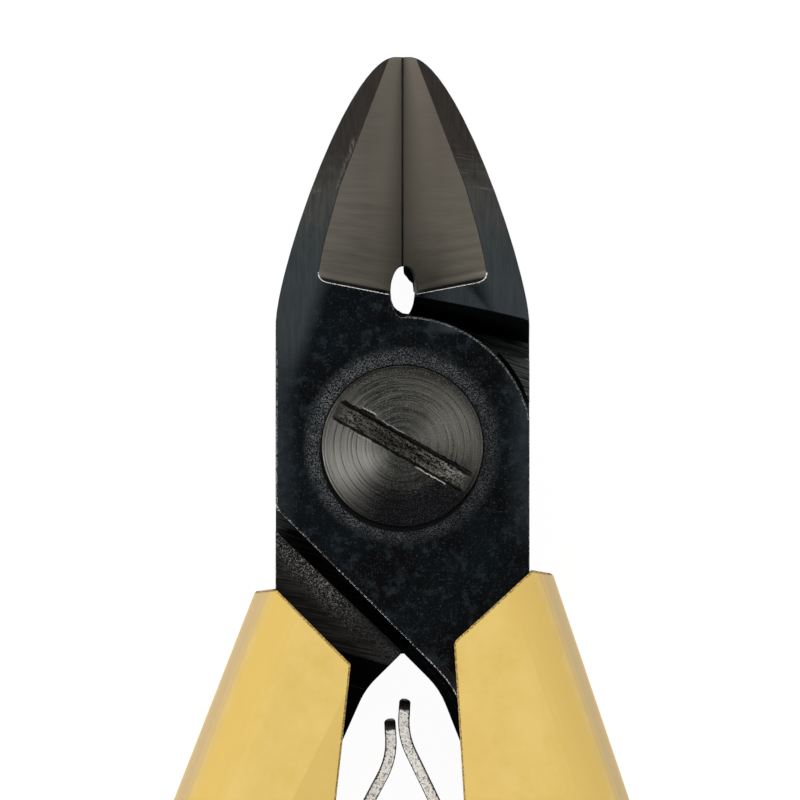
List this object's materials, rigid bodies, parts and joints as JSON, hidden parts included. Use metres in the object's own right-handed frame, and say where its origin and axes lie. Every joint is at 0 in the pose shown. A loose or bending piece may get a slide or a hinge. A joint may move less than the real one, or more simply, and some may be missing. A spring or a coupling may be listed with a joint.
{
  "type": "side cutter",
  "caption": "Small lap-joint side cutter with ground jaws, slotted pivot screw, moulded grips and a pair of leaf springs that open the handles.",
  "frame": {"origin": "on the pivot axis, at the back face of the head", "axes": "+X across the head to the right, +Y along the tool towards the jaw tip, +Z out of the front face; the tool lies on the backs of its grips"},
  "size_m": [0.0487, 0.1252, 0.011],
  "materials": {
    "blackened_steel": "blackened forging, ground on the jaws",
    "screw_steel": "turned and blackened",
    "grip_plastic": "yellow, smooth, semi-matt",
    "spring_steel": "bright cut edges, darker faces"
  },
  "bodies": {
    "rear_lever": {"rear_half": "blackened_steel", "joint_screw": "screw_steel", "left_grip": "grip_plastic", "left_leaf_spring": "spring_steel", "left_spring_rivet": "spring_steel"},
    "front_lever": {"front_half": "blackened_steel", "right_grip": "grip_plastic", "right_leaf_spring": "spring_steel", "right_spring_rivet": "spring_steel"}
  },
  "joints": [
    {"name": "handle_pivot", "type": "hinge", "parent": "rear_lever", "child": "front_lever", "pos_m": [0, 0, 0], "axis": [0, 0, 1], "range_deg": [0, 16], "stiffness_Nm_per_rad": 0.6, "springref_deg": 20.05, "deforming": ["left_leaf_spring", "right_leaf_spring"]}
  ]
}
